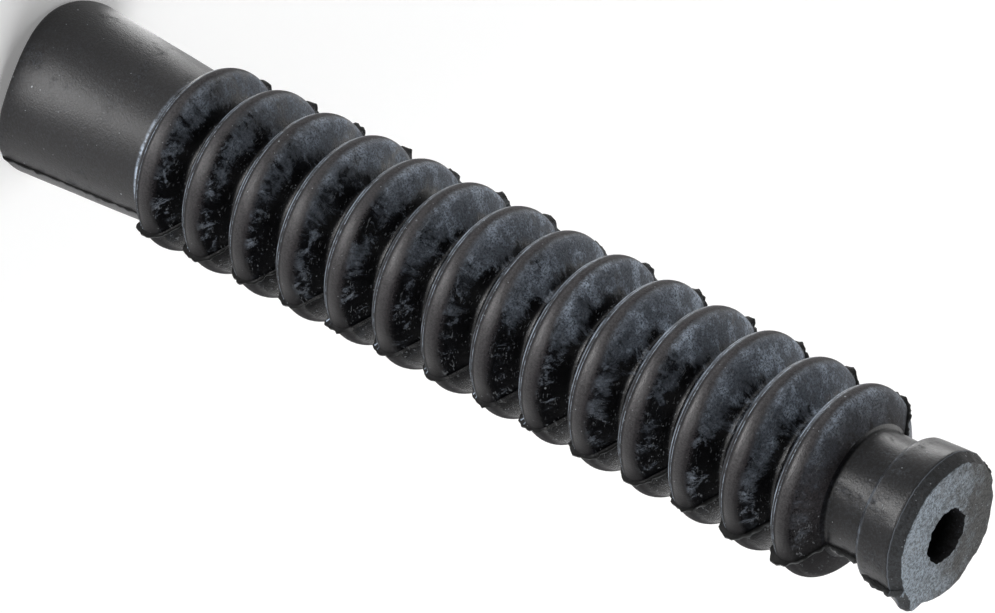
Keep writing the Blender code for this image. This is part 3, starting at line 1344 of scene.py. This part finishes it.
class CutCoat(Coat):
    """The trimmed end face and its torn bevel: dusty, grained and scored by the knife."""

    def wire(self) -> None:
        """Wires the dust, which is paler on one side, the knife's marks and a painted highlight along the
        bevel's foot.
        """
        look, kit = self.look, self.kit
        broad = kit.group(self.groups.mottle, {
            "Vector": self.place, "Size": 700.0, "Cover": 0.50, "Edge": 0.16, "Break": 0.6})
        scored = kit.group(self.groups.scratches, {
            "Vector": self.place, "Size": 900.0, "Stretch": (3.0, 0.35, 1.0), "Cover": 0.3})
        top = boot_top()
        face = kit.ramp(self.axes["Z"], top - 0.10 * MM, top - 0.02 * MM, 0.08)
        powder = self.powder(look.powder_size, 4.0, 0.8, 0.38, 0.60, 0.25)
        pale = kit.math("MULTIPLY_ADD", broad, 0.5, self.facing(self.place, PALE_TURN, 10.0 * MM))
        bloom = kit.mix_colour(kit.ramp(pale, -0.30, 0.75), look.powder_gap, look.thick_bloom)
        bloom = kit.mix_colour(powder, look.base, bloom)
        colour = kit.mix_colour(face, look.base, bloom)
        colour = kit.mix_colour(kit.times(kit.times(scored, face), 0.18), colour, look.dust)
        # Painted highlight: a pale line along the rounded edge where the bevel starts.
        edge = kit.ramp(kit.gap(self.axes["Z"], top - look.painted_highlight_depth), 0.03 * MM, 0.11 * MM, 0.5, 0.0)
        colour = kit.mix_colour(edge, colour, look.bloom)
        relief = kit.math("MULTIPLY_ADD", scored, -0.5, self.mould_grain())
        self.close(self.specked(colour), look.bloom_roughness, relief)


FINISHES: dict[Skin, tuple[type[Coat], Rubber]] = {
    Skin.SLEEVE: (SmoothCoat, Rubber(
        "sleeve_rubber", base=(0.0030, 0.0022, 0.0029, 1.0), roughness=0.41, grain_depth=0.044 * MM,
        specular=0.56, haze=0.07)),
    Skin.RIBS: (RibCoat, Rubber(
        "rib_rubber", roughness=0.32, powder_size=5000.0, grain_size=6500.0, grain_wave=0.8,
        grain_depth=0.034 * MM, specular=0.42, speck_share=0.06)),
    # On the collar the pale joint line is a painted highlight along the step's rounded edge.
    Skin.COLLAR: (SmoothCoat, Rubber(
        "collar_rubber", base=(0.004, 0.0035, 0.004, 1.0), roughness=0.32, grain_depth=0.022 * MM,
        specular=0.32, haze=0.08, speck_share=0.03, joint_height=104.45 * MM, joint_share=0.22)),
    Skin.CUT: (CutCoat, Rubber(
        "cut_rubber", bloom_roughness=0.72, powder_size=3900.0, grain_size=2700.0, grain_wave=0.6,
        grain_depth=0.07 * MM, speck_share=0.3, powder_gap=(0.078, 0.079, 0.078, 1.0),
        thick_bloom=(0.285, 0.335, 0.385, 1.0))),
    Skin.INSIDE: (SmoothCoat, Rubber("inside_rubber", roughness=0.6)),
    Skin.FLASH: (FlashCoat, Rubber(
        "flash_rubber", base=(0.0015, 0.0015, 0.0015, 1.0), bloom=(0.085, 0.088, 0.090, 1.0),
        roughness=0.6, grain_depth=0.04 * MM, specular=0.2)),
}


def dress(boot: bpy.types.Object) -> None:
    """Gives the boot its finishes, in the order of Skin.

    Args:
        boot: The boot.
    """
    groups = Groups()
    for skin in Skin:
        kind, look = FINISHES[skin]
        coat = kind(look, groups)
        coat.wire()
        boot.data.materials.append(coat.material)


@dataclass(frozen=True)
class Viewpoint:
    """Where the photograph was taken from, told by how the boot lies in it."""

    distance: float = 684.2 * MM
    picture_turn: float = math.radians(26.67)
    lean: float = math.radians(30.91)
    seam_turn: float = math.radians(-20.0)
    middle: float = 58.3 * MM
    right: float = 1.64 * MM
    down: float = 0.80 * MM
    lens: float = 262.7
    sensor: float = 36.0

    def turn(self) -> Matrix:
        """The boot's three axes as the picture shows them: right, down and away.

        Returns:
            A matrix that turns the boot's frame into the picture's.
        """
        along = Vector((math.cos(self.lean) * math.cos(self.picture_turn),
                        math.cos(self.lean) * math.sin(self.picture_turn), -math.sin(self.lean)))
        across = Vector((-math.sin(self.picture_turn), math.cos(self.picture_turn), 0.0))
        away = along.cross(across)
        seam = across * math.cos(self.seam_turn) + away * math.sin(self.seam_turn)
        return Matrix((seam, along.cross(seam), along)).transposed()

    def around(self, turn: float, rise: float) -> Vector:
        """A direction from the boot, by its turn from the camera and its rise from the floor.

        Args:
            turn: Degrees round the boot from the camera's side, towards the top of the picture.
            rise: Degrees above the floor.

        Returns:
            The direction, of length 1.
        """
        back = self.turn().transposed() @ Vector((0.0, 0.0, -1.0))
        facing = math.atan2(back.y, back.x) - math.radians(turn)
        flat = math.cos(math.radians(rise))
        return Vector((flat * math.cos(facing), flat * math.sin(facing), math.sin(math.radians(rise))))

    def place_camera(self) -> None:
        """Makes the camera and sets it as the scene's own."""
        data = bpy.data.cameras.new("camera")
        data.sensor_width = self.sensor
        data.lens = self.lens
        camera = stand("camera", data)
        back = self.turn().transposed()
        offset = Vector((self.right, self.down, self.distance)) - self.turn() @ Vector((0, 0, self.middle))
        flip = Matrix(((1, 0, 0), (0, -1, 0), (0, 0, -1)))
        camera.matrix_world = Matrix.Translation(-(back @ offset)) @ (back @ flip).to_4x4()
        bpy.context.scene.camera = camera


@dataclass(frozen=True)
class Lamp:
    """One soft lamp, placed by its turn round the boot from the camera and its rise."""

    name: str
    turn: float
    rise: float
    size: float
    radiance: float
    mirrored: bool = True
    distance: float = 0.6


@dataclass(frozen=True)
class Strip:
    """A strip lamp that lies on the floor and points away from the boot's foot, facing up."""

    name: str
    turn: float
    near: float
    far: float
    width: float
    radiance: float
    lift: float = 1.0 * MM


@dataclass
class Studio:
    """The plain pale floor and the soft light."""

    view: Viewpoint
    lamps: tuple[Lamp, ...] = (
        Lamp("key_lamp", -14.0, 13.0, 0.26, 3.2),
        Lamp("back_lamp", 150.0, 36.0, 0.50, 2.0),
        Lamp("low_lamp", -120.0, 27.0, 0.36, 6.0, mirrored=False),
        Lamp("top_lamp", -120.0, 62.0, 0.40, 2.8, mirrored=False),
    )
    strips: tuple[Strip, ...] = (
        Strip("near_strip", -6.0, 13.0 * MM, 60.0 * MM, 10.0 * MM, 4.9),
        Strip("far_strip", 0.0, 60.0 * MM, 120.0 * MM, 30.0 * MM, 3.6),
        Strip("neck_strip", -6.0, 130.0 * MM, 230.0 * MM, 76.0 * MM, 14.0),
        Strip("back_strip", 112.0, 10.5 * MM, 60.0 * MM, 10.0 * MM, 2.4),
        Strip("back_far_strip", 112.0, 90.0 * MM, 230.0 * MM, 60.0 * MM, 7.0),
    )
    horizon_strength: float = 1.0
    zenith_strength: float = 0.04
    horizon_end: float = 0.42
    floor_lift: float = 0.16
    far_lift: float = 0.88
    lift_start: float = 0.28
    lift_end: float = 1.10
    floor_size: float = 4.0
    floor_level: float = 0.0

    @staticmethod
    def hang(name: str, size: tuple[float, float], radiance: float, place: Vector, turn: Matrix,
             mirrored: bool = True) -> None:
        """Places one area lamp, which the camera doesn't see.

        Args:
            name: The lamp's name.
            size: Its width and height.
            radiance: How bright its face is, where 1 is white.
            place: Where it is.
            turn: Its own axes; it shines against the third.
            mirrored: Whether glossy surfaces show its reflection.
        """
        data = bpy.data.lights.new(name, "AREA")
        data.shape = "RECTANGLE"
        data.size, data.size_y = size
        data.energy = radiance * math.pi * size[0] * size[1]
        light = stand(name, data)
        light.location = place
        light.rotation_euler = turn.to_euler()
        light.visible_camera = False
        light.visible_glossy = mirrored

    def hang_lamps(self) -> None:
        """Places the lamps round the boot, each turned towards its middle, and lays the strips."""
        centre = Vector((0.0, 0.0, self.view.middle))
        down = Vector((0.0, 0.0, -1.0))
        for lamp in self.lamps:
            direction = self.view.around(lamp.turn, lamp.rise)
            turn = direction.to_track_quat("Z", "Y").to_matrix()
            place = centre + direction * lamp.distance
            self.hang(lamp.name, (lamp.size, lamp.size), lamp.radiance, place, turn, lamp.mirrored)
        for strip in self.strips:
            away = self.view.around(strip.turn, 0.0)
            turn = Matrix((away.cross(down), away, down)).transposed()
            place = away * (strip.near + strip.far) / 2 - down * (self.floor_level + strip.lift)
            self.hang(strip.name, (strip.width, strip.far - strip.near), strip.radiance, place, turn)

    def light_world(self) -> None:
        """An even surround: white low down, like a sweep of paper, and dark overhead."""
        world = bpy.data.worlds.new("surround")
        bpy.context.scene.world = world
        world.use_nodes = True
        background = world.node_tree.nodes["Background"]
        kit = Kit(world.node_tree)
        rise = kit.add("SeparateXYZ", {0: kit.add("TexCoord", {}).outputs["Generated"]}).outputs["Z"]
        strength = kit.ramp(rise, 0.0, self.horizon_end, self.horizon_strength, self.zenith_strength)
        kit.fill(background, {"Color": (1.0, 1.0, 1.0, 1.0), "Strength": strength})

    def lay_floor(self) -> None:
        """A wide pale floor under the mouth."""
        sheet = bmesh.new()
        bmesh.ops.create_grid(sheet, x_segments=1, y_segments=1, size=self.floor_size)
        bmesh.ops.translate(sheet, verts=sheet.verts[:], vec=(0.0, 0.0, self.floor_level))
        mesh = bpy.data.meshes.new("floor")
        sheet.to_mesh(mesh)
        sheet.free()
        floor = stand("floor", mesh)
        material = bpy.data.materials.new("floor_white")
        material.use_nodes = True
        kit = Kit(material.node_tree)
        path = kit.add("LightPath", {}).outputs
        seen = kit.math("MAXIMUM", path["Is Camera Ray"], path["Is Glossy Ray"])
        seen = kit.math("MAXIMUM", seen, path["Is Transmission Ray"])
        place = kit.add("TexCoord", {}).outputs["Object"]
        away = kit.add("VectorMath", {0: place}, operation="LENGTH").outputs["Value"]
        lift = kit.ramp(away, self.lift_start, self.lift_end, self.floor_lift, self.far_lift)
        kit.fill(material.node_tree.nodes["Principled BSDF"], {
            "Base Color": (0.90, 0.90, 0.90, 1.0), "Roughness": 0.9, "Specular IOR Level": 0.0,
            "Emission Color": (1.0, 1.0, 1.0, 1.0), "Emission Strength": kit.times(seen, lift)})
        mesh.materials.append(material)

    def build(self) -> None:
        """Builds the floor, the surround and the lamps."""
        self.lay_floor()
        self.light_world()
        self.hang_lamps()


def dressed_floor(boot: bpy.types.Object) -> float:
    """The height of the boot's lowest point, on which it stands."""
    return min(vert.co.z for vert in boot.data.vertices)


def packed_sizes() -> BootSizes:
    """The boot's sizes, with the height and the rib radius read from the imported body."""
    low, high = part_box(NODE)
    return BootSizes(height=high.z - low.z, rib_radius=(high.y - low.y) / 2)


def main() -> None:
    """Builds the boot, dresses it and sets the studio up."""
    logging.basicConfig(level=logging.INFO, format="%(name)s: %(message)s")
    bpy.context.scene.view_settings.view_transform = "Standard"
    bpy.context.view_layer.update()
    view = Viewpoint()
    view.place_camera()
    boot = Boot(packed_sizes()).build()
    dress(boot)
    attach(boot, "root")
    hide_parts(NODE)
    LOG.info("moulded_boot: %d faces", len(boot.data.polygons))
    Studio(view, floor_level=dressed_floor(boot)).build()
    LOG.info("floor, surround and lamps")


if __name__ == "__main__":
    main()
